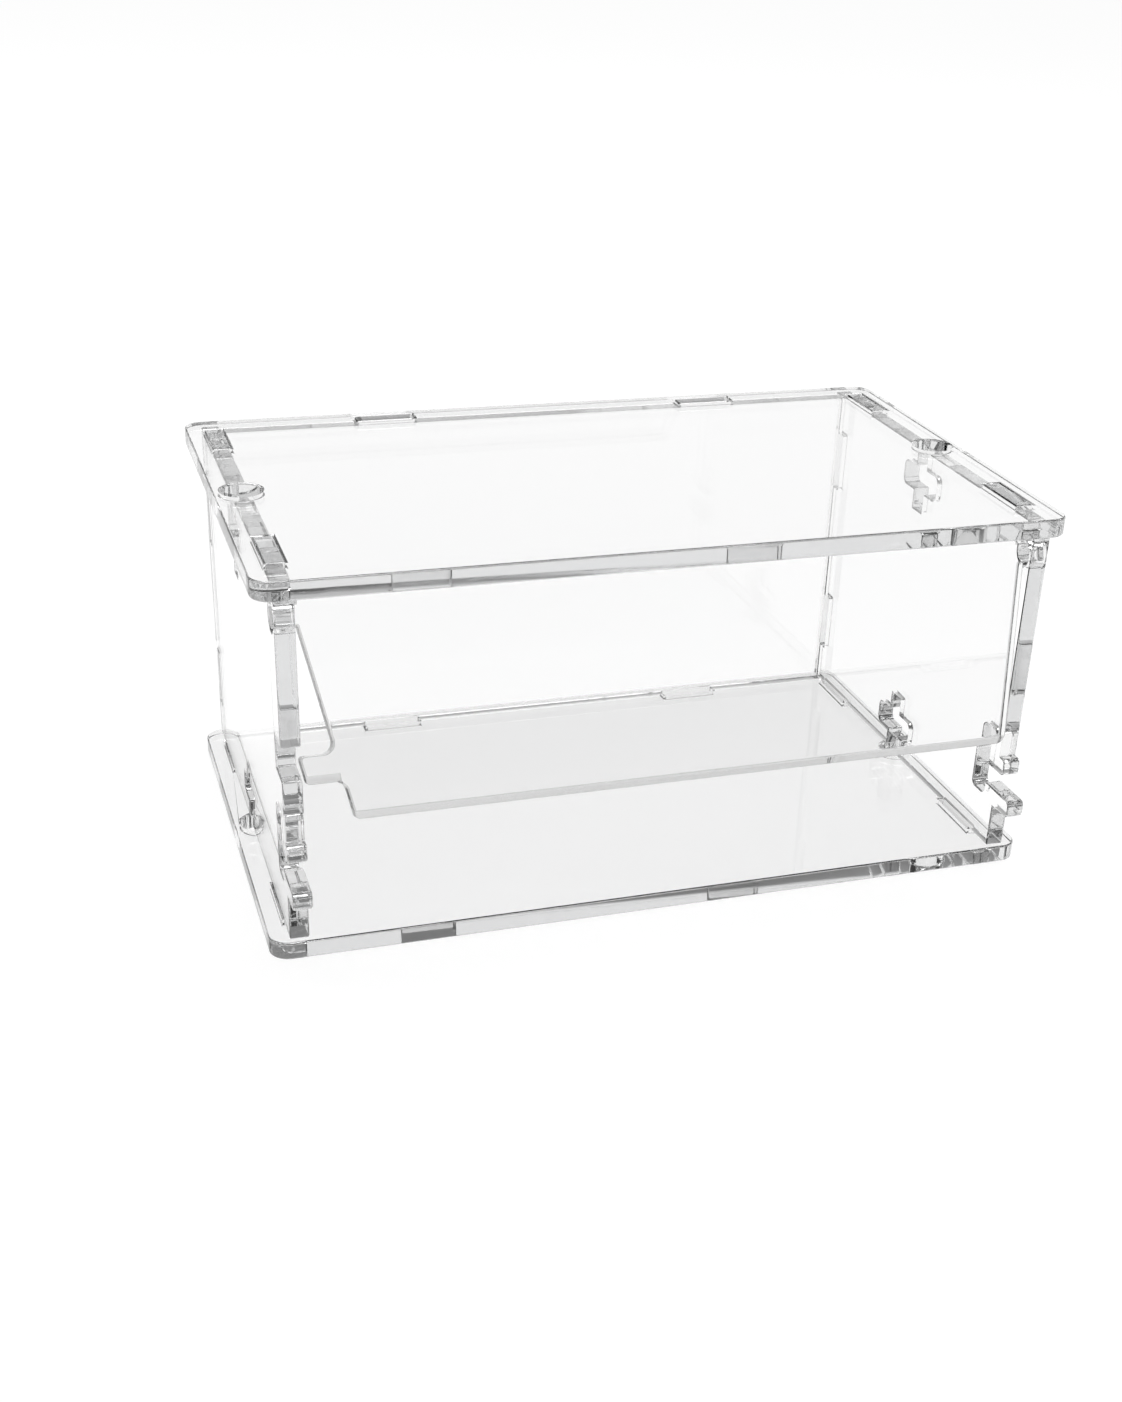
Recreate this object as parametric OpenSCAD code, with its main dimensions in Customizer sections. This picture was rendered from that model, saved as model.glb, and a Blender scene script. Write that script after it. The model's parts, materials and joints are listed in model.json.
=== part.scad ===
// Small display case of clear acrylic sheet, six laser-cut panels that plug together with tabs.
// A top and a base plate hold two side panels and a back panel, and a flap door hangs in the
// upper front on two ears cut in one piece with it.
// Origin: centre of the base plate's underside. X runs right, Y to the back, Z up.

/* [Case] */
// Width of the top and base plates
plate_w = 125; // [100:1:180]
// Depth of the top and base plates
plate_d = 75; // [70:1:110]
// Height of the whole case
case_h = 60; // [56:1:90]
// Thickness of the acrylic sheet
sheet_t = 3; // [2.6:0.1:3.4]
// Radius of the plates' corners
plate_corner_r = 3; // [1:0.5:6]

/* [Panel places] */
// Plates' side edge to the outer face of a side panel
side_inset = 2.9; // [2:0.1:6]
// Plates' rear edge to the outer face of the back panel
back_inset = 2; // [1.8:0.1:8]
// Plates' front edge to the front edge of the side panels
front_inset = 0.8; // [0.5:0.1:3]
// Strip of side panel that runs on behind the back panel
rear_strip = 1.5; // [1:0.1:1.7]

/* [Tabs] */
// Length of the side panels' upper and lower tabs
side_tab_l = 11; // [6:0.5:14]
// Distance between the two tabs on a side panel's upper or lower edge
side_tab_spacing = 52; // [34:1:54]
// Plates' middle to the middle between those two tabs, towards the back
side_tab_setback = 1.1; // [0:0.1:1.5]
// Length of the back panel's tabs
tab_l = 10; // [6:0.5:14]
// Distance between the two tabs on the back panel's upper or lower edge
back_tab_spacing = 58; // [30:1:80]
// Distance between the two tabs on the back panel's left or right edge
wall_tab_spacing = 30; // [16:1:34]
// Play between a tab and its slot, on each side
slot_play = 0.05; // [0.02:0.01:0.15]

/* [Bolt slots] */
// Width of the stem that takes the bolt
stem_w = 3.2; // [2.4:0.1:3.6]
// Length of the stem from the panel's edge to the nut slot
stem_neck = 3.3; // [2.6:0.1:4]
// Length of the stem beyond the nut slot, in the slots under the bolt holes
stem_tail = 3.3; // [1.5:0.1:4]
// Length of the nut slot, across the stem
nut_slot_l = 11.5; // [7:0.5:13]
// Height of the nut slot, along the stem
nut_slot_h = 3.9; // [2.4:0.1:4.2]
// Radius of the nut slot's corners
nut_slot_r = 1; // [0.4:0.1:1.1]
// Diameter of the plate hole over each bolt slot
bolt_hole_d = 6.5; // [4:0.1:7.4]

/* [Front joint] */
// Top of the base plate to the middle of the front bolt slot
joint_height = 12; // [9:0.1:14]
// Middle of the front bolt slot's stem to the middle of its nut slot, upwards
joint_nut_rise = 2; // [0:0.1:3]
// Height of each forward tab
joint_tab_h = 3; // [2:0.1:3.6]
// Upper forward tab beyond the side panel's front edge
upper_tab_l = 1.6; // [1:0.1:5]
// Lower forward tab beyond the side panel's front edge
lower_tab_l = 4.6; // [1:0.1:7]
// Radius of the forward tabs' corners
joint_tab_r = 0.9; // [0.3:0.1:0.9]

/* [Door] */
// Angle that the door stands open
door_angle = 23.5; // [0:0.5:80]
// Side panel's front edge to the pivot axis
pivot_setback = 3; // [2.8:0.1:5]
// Underside of the top plate to the pivot axis
pivot_drop = 3.5; // [3.3:0.1:6]
// Radial play of the door's square ears in their round holes
pivot_play = 0.08; // [0.02:0.01:0.1]
// Pivot axis to the door's lower edge
door_l = 29.1; // [27:0.1:38]
// Inward slant of each side edge from the pivot to the lower edge
door_taper = 5.4; // [0:0.1:10]
// Gap between door and side panel beside the pivot
door_side_gap = 0.4; // [0.2:0.05:0.8]
// Gap between the door's upper edge and the top plate
door_head_gap = 1.2; // [0.7:0.1:1.4]
// Radius of the door's corners
door_corner_r = 0.9; // [0.3:0.1:2]

/* [Pull tab] */
// Pivot axis to the pull tab's upper edge
pull_drop = 19.4; // [12:0.1:21]
// Height of the pull tab
pull_h = 4.2; // [3:0.1:5]
// Reach of the pull tab from the door's side edge
pull_l = 5.2; // [5:0.1:6]
// Radius of the fillets at the pull tab's root
pull_root_r = 1.5; // [0.5:0.1:2]
// Radius of the pull tab's outer corners
pull_tip_r = 0.7; // [0.3:0.1:1.2]
// Play around the closed pull tab in the left side panel's notch
notch_play = 0.5; // [0.3:0.1:1]

/* [Hidden] */
$fn = 48;

// Every cut runs this far past the sheet or edge that it goes through
over = 1;
acrylic = [0.86, 0.92, 0.95, 0.4];

front_y = -plate_d / 2;
rear_y = plate_d / 2;
floor_z = sheet_t;
ceiling_z = case_h - sheet_t;
wall_h = ceiling_z - floor_z;

side_outer_x = plate_w / 2 - side_inset;
side_inner_x = side_outer_x - sheet_t;
side_middle_x = side_outer_x - sheet_t / 2;
side_front_y = front_y + front_inset;
back_outer_y = rear_y - back_inset;
side_rear_y = back_outer_y + rear_strip;

wall_tab_heights = [for (side = [-1, 1]) floor_z + wall_h / 2 + side * wall_tab_spacing / 2];
joint_z = floor_z + joint_height;
nut_depth = stem_neck + nut_slot_h / 2;

pivot_y = side_front_y + pivot_setback;
pivot_z = ceiling_z - pivot_drop;
ear_half = sheet_t / 2;
pivot_r = ear_half * sqrt(2) + pivot_play;

door_top_half = side_inner_x - door_side_gap;
door_head = pivot_drop - door_head_gap;
door_head_r = min(door_corner_r, 0.9 * (door_head - ear_half));
notch_rear_y = pivot_y + sheet_t / 2 + notch_play;

// Half the door's width at a depth below the pivot axis
function door_half(depth) =
    door_top_half - door_taper * max(0, depth - ear_half) / (door_l - ear_half);

function unit(v) = v / norm(v);

// An arc of radius r that touches both edges at the corner p of an outline, towards the
// neighbouring corners a and b: half the corner's angle, the arc's centre, its end on the edge to q
function half_angle(p, a, b) = acos(unit(a - p) * unit(b - p)) / 2;
function arc_centre(p, a, b, r) =
    p + unit(unit(a - p) + unit(b - p)) * r / sin(half_angle(p, a, b));
function arc_end(p, q, a, b, r) = p + unit(q - p) * r / tan(half_angle(p, a, b));

// What an outline loses where the corner p is rounded, with a margin beyond its edges
module corner_cut(p, a, b, r) {
    margin = 1.6;
    centre = arc_centre(p, a, b, r);
    translate(centre) difference() {
        polygon([
            [0, 0],
            margin * (arc_end(p, a, a, b, r) - centre),
            margin * (p - centre),
            margin * (arc_end(p, b, a, b, r) - centre),
        ]);
        circle(r);
    }
}

// A rectangle with rounded corners, centred on the origin
module rounded_rect(w, h, r) {
    square([w - 2 * r, h], center = true);
    square([w, h - 2 * r], center = true);
    for (x = [-1, 1], y = [-1, 1])
        translate([x * (w / 2 - r), y * (h / 2 - r)]) circle(r);
}

// Two copies of a shape, half the spacing to each side of the origin along X
module pair(spacing) {
    for (side = [-1, 1]) translate([side * spacing / 2, 0]) children();
}

// The slot that a tab plugs into, lying along X
module tab_slot(tab) {
    square([tab + 2 * slot_play, sheet_t + 2 * slot_play], center = true);
}

// A slot for a bolt and a nut that runs down from an edge on the X axis. Its stem reaches to
// stem_l, and the nut slot's middle lies nut_x beside the stem
module bolt_slot(stem_l, nut_x) {
    translate([-stem_w / 2, -stem_l]) square([stem_w, stem_l + over]);
    translate([nut_x, -nut_depth]) rounded_rect(nut_slot_l, nut_slot_h, nut_slot_r);
}

// The cross-shaped slot under a bolt hole
module cross_slot() bolt_slot(nut_depth + nut_slot_h / 2 + stem_tail, 0);

// The T-shaped slot of the front joint
module tee_slot() bolt_slot(nut_depth, joint_nut_rise);

// One of the two like plates, with slots for the panels' tabs and the bolt holes
module plate() {
    linear_extrude(sheet_t) difference() {
        rounded_rect(plate_w, plate_d, plate_corner_r);
        for (side = [-1, 1]) translate([side * side_middle_x, side_tab_setback]) {
            rotate(90) pair(side_tab_spacing) tab_slot(side_tab_l);
            circle(bolt_hole_d / 2);
        }
        translate([0, back_outer_y - sheet_t / 2]) pair(back_tab_spacing) tab_slot(tab_l);
    }
}

module base_plate() color(acrylic) plate();

module top_plate() color(acrylic) translate([0, 0, ceiling_z]) plate();

// A forward tab with two rounded outer corners, its lower edge on the X axis, pointing to -X
module forward_tab(reach) {
    root = joint_tab_r + over;
    translate([(root - reach) / 2, joint_tab_h / 2])
        rounded_rect(reach + root, joint_tab_h, joint_tab_r);
}

// Outline of a side panel without its notch. The outline's X is the case's Y, its Y the case's Z
module side_outline() {
    difference() {
        union() {
            translate([side_front_y, floor_z]) square([side_rear_y - side_front_y, wall_h]);
            translate([side_tab_setback, 0]) pair(side_tab_spacing)
                translate([-side_tab_l / 2, 0]) square([side_tab_l, case_h]);
            translate([side_front_y, joint_z + stem_w / 2]) forward_tab(upper_tab_l);
            translate([side_front_y, joint_z - stem_w / 2 - joint_tab_h]) forward_tab(lower_tab_l);
        }
        translate([side_tab_setback, ceiling_z]) cross_slot();
        translate([side_tab_setback, floor_z]) mirror([0, 1]) cross_slot();
        translate([side_front_y, joint_z]) rotate(90) tee_slot();
        for (z = wall_tab_heights)
            translate([back_outer_y - sheet_t / 2, z]) rotate(90) tab_slot(tab_l);
        translate([pivot_y, pivot_z]) circle(pivot_r);
    }
}

// Room in the side panel's front edge for the pull tab of the closed door
module pull_notch() {
    low_z = pivot_z - pull_drop - pull_h - notch_play;
    high_z = pivot_z - pull_drop + notch_play;
    depth = notch_rear_y - side_front_y;
    translate([side_front_y - over, low_z]) square([depth + over, high_z - low_z]);
}

// Sets a side outline upright, with one face at x and the sheet's thickness towards +X
module stand_side(x) {
    translate([x, 0, 0]) rotate([90, 0, 90]) linear_extrude(sheet_t) children();
}

module left_side_panel() color(acrylic) stand_side(-side_outer_x) difference() {
    side_outline();
    pull_notch();
}

module right_side_panel() color(acrylic) stand_side(side_inner_x) side_outline();

module back_panel() {
    color(acrylic) translate([0, back_outer_y, 0]) rotate([90, 0, 0]) linear_extrude(sheet_t) {
        translate([-side_inner_x, floor_z]) square([2 * side_inner_x, wall_h]);
        pair(back_tab_spacing) translate([-tab_l / 2, 0]) square([tab_l, case_h]);
        for (z = wall_tab_heights)
            translate([-side_outer_x, z - tab_l / 2]) square([2 * side_outer_x, tab_l]);
    }
}

// Corners of the door, anticlockwise from the lower left, with the pivot axis as the X axis.
// Each row holds the corner's place and its radius
door_corners = [
    [[-door_half(door_l), -door_l], door_corner_r],
    [[door_half(door_l), -door_l], door_corner_r],
    [[door_top_half, -ear_half], 0],
    [[side_outer_x, -ear_half], 0],
    [[side_outer_x, ear_half], 0],
    [[door_top_half, ear_half], 0],
    [[door_top_half, door_head], door_head_r],
    [[-door_top_half, door_head], door_head_r],
    [[-door_top_half, ear_half], 0],
    [[-side_outer_x, ear_half], 0],
    [[-side_outer_x, -ear_half], 0],
    [[-door_top_half, -ear_half], 0],
    [[-door_half(pull_drop), -pull_drop], pull_root_r],
    [[-door_half(pull_drop) - pull_l, -pull_drop], pull_tip_r],
    [[-door_half(pull_drop + pull_h) - pull_l, -pull_drop - pull_h], pull_tip_r],
    [[-door_half(pull_drop + pull_h), -pull_drop - pull_h], pull_root_r],
];

// A corner's neighbours, and whether the outline turns left there, which makes it an outer corner
function corner(i) = door_corners[(i + len(door_corners)) % len(door_corners)][0];
function is_outer(i) = cross(corner(i) - corner(i - 1), corner(i + 1) - corner(i)) > 0;

// An inner corner with a radius runs to the arc's centre and back, for the arc to be cut from it
function outline_points(i, r) =
    r == 0 || is_outer(i)
        ? [corner(i)]
        : [
            arc_end(corner(i), corner(i - 1), corner(i - 1), corner(i + 1), r),
            arc_centre(corner(i), corner(i - 1), corner(i + 1), r),
            arc_end(corner(i), corner(i + 1), corner(i - 1), corner(i + 1), r),
        ];

module door_outline() {
    last = len(door_corners) - 1;
    difference() {
        polygon([for (i = [0 : last]) each outline_points(i, door_corners[i][1])]);
        for (i = [0 : last]) {
            r = door_corners[i][1];
            if (r > 0 && is_outer(i)) corner_cut(corner(i), corner(i - 1), corner(i + 1), r);
            if (r > 0 && !is_outer(i))
                translate(arc_centre(corner(i), corner(i - 1), corner(i + 1), r)) circle(r);
        }
    }
}

module door_flap() {
    color(acrylic)
        translate([0, pivot_y, pivot_z])
        rotate([-door_angle, 0, 0])
        translate([0, sheet_t / 2, 0])
        rotate([90, 0, 0])
        linear_extrude(sheet_t)
        door_outline();
}

base_plate();
top_plate();
left_side_panel();
right_side_panel();
back_panel();
door_flap();
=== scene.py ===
# %% [markdown]
# # A small display case of clear acrylic sheet
#
# The case is six laser-cut panels that plug together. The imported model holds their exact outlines,
# so this lesson adds what a clean solid lacks: softened rims, polished faces, edges with the
# laser's fine streaks, and a bright studio whose dark sides draw the clear plastic.

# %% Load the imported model
import json
import math

import bpy
from mathutils import Matrix, Vector


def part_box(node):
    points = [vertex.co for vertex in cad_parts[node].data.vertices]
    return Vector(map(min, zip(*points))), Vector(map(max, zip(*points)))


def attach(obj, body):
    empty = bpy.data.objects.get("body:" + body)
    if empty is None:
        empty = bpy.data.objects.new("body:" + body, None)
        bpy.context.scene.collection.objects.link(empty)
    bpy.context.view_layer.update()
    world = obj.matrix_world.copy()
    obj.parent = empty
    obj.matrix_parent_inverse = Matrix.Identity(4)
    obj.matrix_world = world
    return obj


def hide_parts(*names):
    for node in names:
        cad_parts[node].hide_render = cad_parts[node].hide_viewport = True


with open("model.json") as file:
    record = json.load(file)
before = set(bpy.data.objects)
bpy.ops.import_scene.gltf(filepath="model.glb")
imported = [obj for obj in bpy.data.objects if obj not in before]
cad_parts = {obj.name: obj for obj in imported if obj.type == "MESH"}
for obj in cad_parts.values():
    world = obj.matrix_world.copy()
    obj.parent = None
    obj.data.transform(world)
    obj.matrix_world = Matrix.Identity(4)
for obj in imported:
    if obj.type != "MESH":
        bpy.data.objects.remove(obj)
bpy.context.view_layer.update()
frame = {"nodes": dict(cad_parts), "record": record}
print("nodes:", sorted(frame["nodes"]))

# %% [markdown]
# Sizes are in metres. The sheet's thickness is read from the base plate, and the door's turning
# point from its joint. The door hangs 23.5 degrees open, so its faces look forward and up. The
# direction that the faces of each kind of sheet look along is named once, for its material.

# %% Sizes taken from the model
MM = 0.001
base_low, base_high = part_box("base_plate")
THICKNESS = base_high.z - base_low.z
REST_ANGLE = math.radians(23.5)
DOOR_NORMAL = Vector((0, -math.cos(REST_ANGLE), math.sin(REST_ANGLE)))
DOOR_DOWN = Vector((0, -math.sin(REST_ANGLE), -math.cos(REST_ANGLE)))
PIVOT = Vector(frame["record"]["behaviour"]["joints"][0]["pos_m"])
SHEET_NORMALS = {
    "flat": Vector((0, 0, 1)),
    "side": Vector((1, 0, 0)),
    "back": Vector((0, 1, 0)),
    "door": DOOR_NORMAL,
}
print("sheet thickness in mm:", round(THICKNESS / MM, 2))

# %% [markdown]
# ## Shader maths as expressions
#
# A socket is wrapped so that adding or multiplying two of them adds the Math node that does it.
# Every other node comes from one method of the tree's wrapper.

# %% A wrapped socket and a wrapped node tree
class Value:
    """A socket that number maths can be written with."""

    def __init__(self, tree, socket):
        self.tree = tree
        self.socket = socket

    def _math(self, operation, a, b):
        return self.tree.node("ShaderNodeMath", {"operation": operation}, {0: a, 1: b})

    def __add__(self, other):
        return self._math("ADD", self, other)

    __radd__ = __add__

    def __sub__(self, other):
        return self._math("SUBTRACT", self, other)

    def __rsub__(self, other):
        return self._math("SUBTRACT", other, self)

    def __mul__(self, other):
        return self._math("MULTIPLY", self, other)

    __rmul__ = __mul__


class Tree:
    """A material's or the world's nodes, started from an empty tree."""

    def __init__(self, owner):
        owner.use_nodes = True
        self.nodes = owner.node_tree.nodes
        self.links = owner.node_tree.links
        self.nodes.clear()

    def node(self, kind, settings=None, inputs=None, output=0):
        """Adds a node, makes its settings, sets or links its inputs, and wraps one output."""
        made = self.nodes.new(kind)
        for name, value in (settings or {}).items():
            if name == "stops":
                elements = made.color_ramp.elements
                while len(elements) < len(value):
                    elements.new(0.5)
                for stop, (place, shade) in zip(elements, value):
                    stop.position = place
                    stop.color = (shade, shade, shade, 1)
            else:
                setattr(made, name, value)
        for name, value in (inputs or {}).items():
            socket = made.inputs[name]
            if isinstance(value, Value):
                self.links.new(value.socket, socket)
            else:
                socket.default_value = value
        return Value(self, made.outputs[output]) if made.outputs else made


print("wrappers:", Value.__name__, "and", Tree.__name__)

# %% [markdown]
# ## The acrylic
#
# A laser leaves fine streaks across the thickness of every cut edge. A noise whose coordinates are
# pressed flat along the sheet's normal varies along the edge and stays the same across the sheet,
# which is just such a streak, and it needs no unwrapping.

# %% Helpers for patterns on a sheet
def dot(tree, a, b):
    """How far one vector points along another."""
    return tree.node(
        "ShaderNodeVectorMath", {"operation": "DOT_PRODUCT"}, {0: a, 1: b}, output="Value"
    )


def flatten_along(tree, place, normal):
    """Coordinates pressed flat along a normal, so that a pattern runs through the sheet."""
    through = tree.node(
        "ShaderNodeVectorMath",
        {"operation": "SCALE"},
        {0: normal, "Scale": dot(tree, place, normal)},
    )
    return tree.node("ShaderNodeVectorMath", {"operation": "SUBTRACT"}, {0: place, 1: through})


def noise(tree, place, scale, detail):
    """A cloudy pattern of a given fineness."""
    return tree.node("ShaderNodeTexNoise", {}, {"Vector": place, "Scale": scale, "Detail": detail})


print("pattern helpers:", dot.__name__, flatten_along.__name__, noise.__name__)

# %% [markdown]
# Cast acrylic bends light a little less than window glass and swallows a little of it on a long
# way, so a panel looks clear face on and grey along its edges. Its faces are almost perfectly
# smooth, with the casting's slow waves. The cut edges are given a greyer base colour than the
# faces, which is a painted shade. One material holds both, because light that goes in through an
# edge and out through a face must leave the same plastic that it entered.

# %% One material for faces and cut edges
ACRYLIC_IOR = 1.49
DEPTH_COLOR = (0.40, 0.41, 0.42, 1)
DEPTH_DENSITY = 5.0
FACE_LIMIT = 0.97
WIPING_SCALE = 45.0
WIPED_ROUGHNESS = 0.02
WAVE_SCALE = 60.0
WAVE_HEIGHT = 0.6
FINE_STREAK_SCALE = 900.0
FINE_STREAK_HEIGHT = 0.4
COARSE_STREAK_SCALE = 180.0
COARSE_STREAK_HEIGHT = 0.6
STREAK_ROUGHNESS = 0.02
EDGE_ROUGHNESS = 0.004
BUMP_STRENGTH = 0.03
BUMP_DISTANCE = 0.1 * MM


def acrylic(name, normal, edge_painted_shade):
    """Clear sheet with its two kinds of surface: waves on the faces, streaks and a painted shade on
    the cut edges.
    """
    material = bpy.data.materials.new(name)
    tree = Tree(material)
    facing = dot(tree, tree.node("ShaderNodeTexCoord", output="Normal"), normal)
    facing = tree.node("ShaderNodeMath", {"operation": "ABSOLUTE"}, {0: facing})
    face = tree.node("ShaderNodeMath", {"operation": "GREATER_THAN"}, {0: facing, 1: FACE_LIMIT})
    edge = 1 - face
    place = tree.node("ShaderNodeTexCoord", output="Object")
    across = flatten_along(tree, place, normal)
    wiping = noise(tree, place, WIPING_SCALE, 4.0)
    waves = noise(tree, place, WAVE_SCALE, 2.0)
    fine = noise(tree, across, FINE_STREAK_SCALE, 2.0)
    coarse = noise(tree, across, COARSE_STREAK_SCALE, 1.0)
    streaks = FINE_STREAK_HEIGHT * fine + COARSE_STREAK_HEIGHT * coarse
    bump = tree.node(
        "ShaderNodeBump",
        {},
        {
            "Strength": BUMP_STRENGTH,
            "Distance": BUMP_DISTANCE,
            "Height": WAVE_HEIGHT * face * waves + edge * streaks,
        },
    )
    edge_roughness = STREAK_ROUGHNESS * fine + EDGE_ROUGHNESS
    surface = tree.node(
        "ShaderNodeBsdfPrincipled",
        {},
        {
            # The cut edges are darkened by a painted shade in their base colour.
            "Base Color": 1 - edge_painted_shade * edge,
            "Roughness": WIPED_ROUGHNESS * face * wiping + edge * edge_roughness,
            "IOR": ACRYLIC_IOR,
            "Transmission Weight": 1.0,
            "Normal": bump,
        },
    )
    inside = tree.node(
        "ShaderNodeVolumeAbsorption", {}, {"Color": DEPTH_COLOR, "Density": DEPTH_DENSITY}
    )
    tree.node("ShaderNodeOutputMaterial", {}, {"Surface": surface, "Volume": inside})
    return material


print("acrylic bends light by", ACRYLIC_IOR)

# %% [markdown]
# Each direction of sheet gets its own acrylic. The door's cut edges carry much more painted shade
# than the rest, which deepens the grey band along its eased edges.

# %% One acrylic for each direction of sheet
# How much painted shade darkens the cut edges of each direction of sheet.
EDGE_PAINTED_SHADES = {"flat": 0.12, "side": 0.12, "back": 0.12, "door": 0.55}

ACRYLIC = {
    sheet: acrylic("acrylic_" + sheet, normal, EDGE_PAINTED_SHADES[sheet])
    for sheet, normal in SHEET_NORMALS.items()
}
print("materials:", [material.name for material in ACRYLIC.values()])

# %% [markdown]
# ## The panels
#
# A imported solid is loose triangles. Each panel is a copy of its solid whose doubled corners are
# merged, so that its faces hang together and the later steps can work on its edges.

# %% A merged copy of a solid
MERGE_DISTANCE = 0.001 * MM


def select_only(piece):
    """Makes a piece the one that operators work on."""
    bpy.ops.object.select_all(action="DESELECT")
    piece.select_set(True)
    bpy.context.view_layer.objects.active = piece


def merged_copy(node):
    """A copy of a node's mesh, as one connected skin."""
    piece = bpy.data.objects.new(node + "_sheet", frame["nodes"][node].data.copy())
    bpy.context.scene.collection.objects.link(piece)
    select_only(piece)
    bpy.ops.object.mode_set(mode="EDIT")
    bpy.ops.mesh.select_all(action="SELECT")
    bpy.ops.mesh.remove_doubles(threshold=MERGE_DISTANCE)
    bpy.ops.object.mode_set(mode="OBJECT")
    return piece


print("corners closer than", MERGE_DISTANCE / MM, "mm become one")

# %% [markdown]
# The door's lower front edge and that of its pull tab are eased at 45 degrees, which draws the
# grey band along them. A turned box that overlaps the edge takes the strip away in one cut.

# %% Ease a lower edge of the door
EASE = 1.2 * MM
CUTTER = 4 * MM
CUTTER_TURN = math.radians(135) - REST_ANGLE


def ease_edge(piece, depth, x_low, x_high):
    """Cuts a slanted strip from the front of a lower edge, a depth below the pivot axis."""
    slant = (DOOR_NORMAL + DOOR_DOWN).normalized()
    strip = PIVOT + (depth - EASE / 2) * DOOR_DOWN + (THICKNESS / 2 - EASE / 2) * DOOR_NORMAL
    strip.x = (x_low + x_high) / 2
    bpy.ops.object.select_all(action="DESELECT")
    bpy.ops.mesh.primitive_cube_add(
        size=1,
        location=strip + slant * CUTTER / 2,
        rotation=(CUTTER_TURN, 0, 0),
        scale=(x_high - x_low, CUTTER, CUTTER),
    )
    cutter = bpy.context.object
    cut = piece.modifiers.new("ease", "BOOLEAN")
    cut.operation = "DIFFERENCE"
    cut.solver = "EXACT"
    cut.object = cutter
    select_only(piece)
    bpy.ops.object.modifier_apply(modifier="ease")
    bpy.data.objects.remove(cutter)


print("the door's lower edges are eased by", EASE / MM, "mm")

# %% [markdown]
# A cut sheet has no razor edge: its rims are rounded by a few tenths of a millimetre, and that
# thin round is what catches the bright and dark lines. The piece is drawn in by a hair, so that
# touching panels keep their film of air, and bevelled all round. The weighted normals keep its
# large faces flat up to the rim.

# %% Soften the rims
AIR_FILM = 0.02 * MM
FLAT_ANGLE = math.radians(0.2)
RIM = 0.3 * MM
RIM_SEGMENTS = 3
RIM_ANGLE = math.radians(35)
SMOOTH_ANGLE = math.radians(40)
LARGE_FACES_FIRST = 100


def soften(piece):
    """Joins a piece's flat triangles, draws it in by the air film and rounds its rims."""
    bpy.ops.object.mode_set(mode="EDIT")
    bpy.ops.mesh.select_all(action="SELECT")
    bpy.ops.mesh.dissolve_limited(angle_limit=FLAT_ANGLE)
    bpy.ops.transform.shrink_fatten(value=-AIR_FILM, use_even_offset=True)
    bpy.ops.object.mode_set(mode="OBJECT")
    bevel = piece.modifiers.new("rim", "BEVEL")
    bevel.width = RIM
    bevel.segments = RIM_SEGMENTS
    bevel.limit_method = "ANGLE"
    bevel.angle_limit = RIM_ANGLE
    bevel.use_clamp_overlap = False
    bpy.ops.object.modifier_apply(modifier="rim")
    bpy.ops.object.shade_smooth_by_angle(angle=SMOOTH_ANGLE)
    flats = piece.modifiers.new("flats", "WEIGHTED_NORMAL")
    flats.weight = LARGE_FACES_FIRST
    flats.keep_sharp = True
    bpy.ops.object.modifier_apply(modifier="flats")


print("rims of", RIM / MM, "mm in", RIM_SEGMENTS, "steps")

# %% [markdown]
# Each finished panel takes the place of its solid and rides on the body that the solid belongs to,
# so the door's panel turns with the door.

# %% The six panels
DOOR_LENGTH = 29.1 * MM
TAB_LOWER_EDGE = 23.6 * MM
PAST_DOOR_SIDE = 60 * MM
TAB_ROOT = -52.6 * MM
PANELS = (
    ("base_plate", "case", "flat"),
    ("top_plate", "case", "flat"),
    ("left_side_panel", "case", "side"),
    ("right_side_panel", "case", "side"),
    ("back_panel", "case", "back"),
    ("door_flap", "door", "door"),
)

for node, body, sheet in PANELS:
    piece = merged_copy(node)
    if node == "door_flap":
        ease_edge(piece, DOOR_LENGTH, -PAST_DOOR_SIDE, PAST_DOOR_SIDE)
        ease_edge(piece, TAB_LOWER_EDGE, -PAST_DOOR_SIDE, TAB_ROOT)
    soften(piece)
    piece.data.materials.clear()
    piece.data.materials.append(ACRYLIC[sheet])
    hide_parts(node)
    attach(piece, body)
    measures = [round(length / MM, 2) for length in piece.dimensions]
    print(node, "has", len(piece.data.polygons), "faces and measures", measures)

# %% [markdown]
# ## The studio
#
# Clear plastic shows only what it bends into view. The table and the low space behind the case
# are white, and the space to the sides and behind the camera is dark, so faces stay clear and
# edges draw grey and dark lines. The table glows where the camera or the plastic sees it, and to
# all other light it is a plain matt board, which keeps the case's shadow.

# %% The table
FLOOR_SIZE = 12.0
FLOOR_GLOW = 0.94
FLOOR_COLOR = (0.18, 0.18, 0.18, 1)

bpy.ops.object.select_all(action="DESELECT")
bpy.ops.mesh.primitive_plane_add(size=FLOOR_SIZE, location=(0, 0, 0))
table = bpy.context.object
table.name = "table"
table_finish = bpy.data.materials.new("table_white")
tree = Tree(table_finish)
camera_ray = tree.node("ShaderNodeLightPath", output="Is Camera Ray")
glossy_ray = tree.node("ShaderNodeLightPath", output="Is Glossy Ray")
clear_ray = tree.node("ShaderNodeLightPath", output="Is Transmission Ray")
seen = tree.node(
    "ShaderNodeMath",
    {"operation": "ADD", "use_clamp": True},
    {0: camera_ray + glossy_ray, 1: clear_ray},
)
matt = tree.node("ShaderNodeBsdfDiffuse", {}, {"Color": FLOOR_COLOR})
glow = tree.node("ShaderNodeEmission", {}, {"Color": (1, 1, 1, 1), "Strength": FLOOR_GLOW * seen})
both = tree.node("ShaderNodeAddShader", {}, {0: matt, 1: glow})
tree.node("ShaderNodeOutputMaterial", {}, {"Surface": both})
table.data.materials.append(table_finish)
print("table is", FLOOR_SIZE, "m wide")

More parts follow.
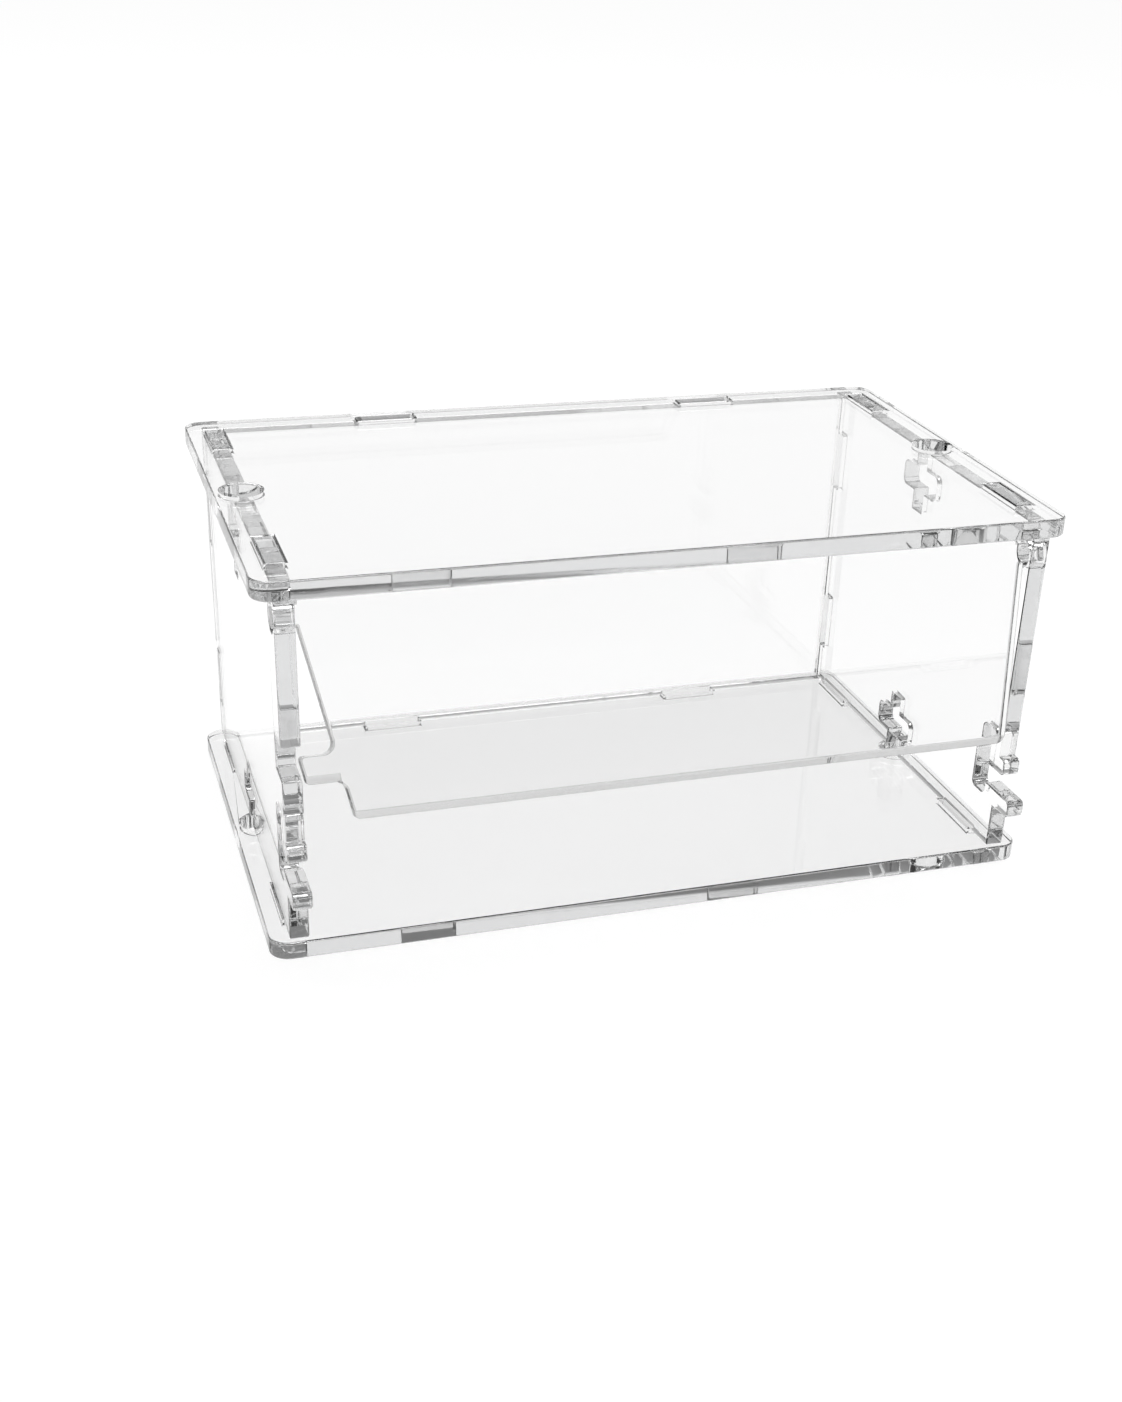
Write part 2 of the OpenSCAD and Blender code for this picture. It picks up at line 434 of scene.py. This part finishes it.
# %% [markdown]
# The world is the rest of the studio. Its brightness depends only on the direction: white straight
# ahead, dimming upwards, and dark to the sides and behind the camera but for a paler low band all
# round, which keeps the top clear when it is seen from behind. Where the camera itself sees the
# world, beyond the table's far edge, it is plain white.

# %% The world
WORLD_DARK = 0.06
LOW_BAND = 0.35
AHEAD_TURN = math.radians(18)
AHEAD_RISE = 0.35
AHEAD = (math.sin(AHEAD_TURN), math.cos(AHEAD_TURN), AHEAD_RISE)
AROUND_STOPS = ((0.0, WORLD_DARK), (0.66, WORLD_DARK), (0.84, 1.0), (1.0, 1.0))
UPWARD_STOPS = ((0.0, 1.0), (0.2, 0.95), (0.36, 0.7), (0.5, 0.25), (1.0, 0.25))
LOW_STOPS = ((0.0, LOW_BAND), (0.3, LOW_BAND), (0.42, 0.0), (1.0, 0.0))


def ramp(tree, factor, stops):
    """A brightness that follows a factor through grey stops."""
    return tree.node("ShaderNodeValToRGB", {"stops": stops}, {"Fac": factor})


world = bpy.data.worlds.new("studio")
bpy.context.scene.world = world
tree = Tree(world)
direction = tree.node("ShaderNodeTexCoord", output="Generated")
height = dot(tree, direction, (0, 0, 1))
around = ramp(tree, 0.5 * dot(tree, direction, AHEAD) + 0.5, AROUND_STOPS)
upwards = ramp(tree, height, UPWARD_STOPS)
low = ramp(tree, height, LOW_STOPS)
studio = tree.node("ShaderNodeMath", {"operation": "MAXIMUM"}, {0: around * upwards, 1: low})
looking = tree.node("ShaderNodeLightPath", output="Is Camera Ray")
sky = tree.node(
    "ShaderNodeBackground", {}, {"Color": studio * (1 - looking) + looking, "Strength": 1.0}
)
tree.node("ShaderNodeOutputWorld", {}, {"Surface": sky})
print("the world's brightness runs from", WORLD_DARK, "to 1.0")

# %% [markdown]
# One large soft lamp hangs over the case, a little behind it and to its right.

# %% A soft lamp overhead
LAMP_WIDTH = 0.9
LAMP_DEPTH = 0.7
LAMP_POWER = 6.0
LAMP_PLACE = Vector((0.15, 0.25, 0.9))
LAMP_AIM = Vector((0, 0, 0.02))

lamp_data = bpy.data.lights.new("softbox", "AREA")
lamp_data.shape = "RECTANGLE"
lamp_data.size = LAMP_WIDTH
lamp_data.size_y = LAMP_DEPTH
lamp_data.energy = LAMP_POWER
lamp = bpy.data.objects.new("softbox", lamp_data)
bpy.context.scene.collection.objects.link(lamp)
lamp.location = LAMP_PLACE
lamp.rotation_euler = (LAMP_AIM - LAMP_PLACE).to_track_quat("-Z", "Y").to_euler()
print("lamp of", LAMP_POWER, "W at", tuple(round(v, 2) for v in LAMP_PLACE))

# %% [markdown]
# ## The camera
#
# The camera's place and turn were worked out from the plates' straight edges. It looks down on
# the case from its front left and is tipped a little sideways. Its picture is a piece out of a
# larger one, so the lens is shifted by the place that the larger picture's middle had.

# %% The camera
AZIMUTH = math.radians(19.325)
ELEVATION = math.radians(28.588)
ROLL = math.radians(2.49)
CAMERA_PLACE = Vector((-0.09264, -0.27126, 0.15214))
IMAGE_WIDTH = 1122
FOCAL_PIXELS = 1852.2
SENSOR_WIDTH = 36
SHIFT_X = -0.0418
SHIFT_Y = 0.1067
CLIP_START = 0.01

forward = Vector((
    math.sin(AZIMUTH) * math.cos(ELEVATION),
    math.cos(AZIMUTH) * math.cos(ELEVATION),
    -math.sin(ELEVATION),
))
level_right = Vector((math.cos(AZIMUTH), -math.sin(AZIMUTH), 0))
level_up = level_right.cross(forward)
right = math.cos(ROLL) * level_right + math.sin(ROLL) * level_up
up = math.cos(ROLL) * level_up - math.sin(ROLL) * level_right
turn = Matrix((right, up, -forward)).transposed().to_4x4()

camera_data = bpy.data.cameras.new("camera")
camera_data.sensor_fit = "HORIZONTAL"
camera_data.sensor_width = SENSOR_WIDTH
camera_data.lens = SENSOR_WIDTH * FOCAL_PIXELS / IMAGE_WIDTH
camera_data.shift_x = SHIFT_X
camera_data.shift_y = SHIFT_Y
camera_data.clip_start = CLIP_START
camera = bpy.data.objects.new("camera", camera_data)
bpy.context.scene.collection.objects.link(camera)
camera.matrix_world = Matrix.Translation(CAMERA_PLACE) @ turn
bpy.context.scene.camera = camera
print("lens", round(camera_data.lens, 1), "mm")

# %% [markdown]
# ## Picture settings
#
# Light crosses many panels and turns inside them many times, so its paths may be long.

# %% Picture settings
CLEAR_BOUNCES = 32
GLOSSY_BOUNCES = 16

scene = bpy.context.scene
scene.view_settings.view_transform = "Standard"
scene.cycles.max_bounces = CLEAR_BOUNCES
scene.cycles.transmission_bounces = CLEAR_BOUNCES
scene.cycles.glossy_bounces = GLOSSY_BOUNCES
scene.cycles.caustics_refractive = True
scene.cycles.caustics_reflective = True
print("light may turn up to", CLEAR_BOUNCES, "times")
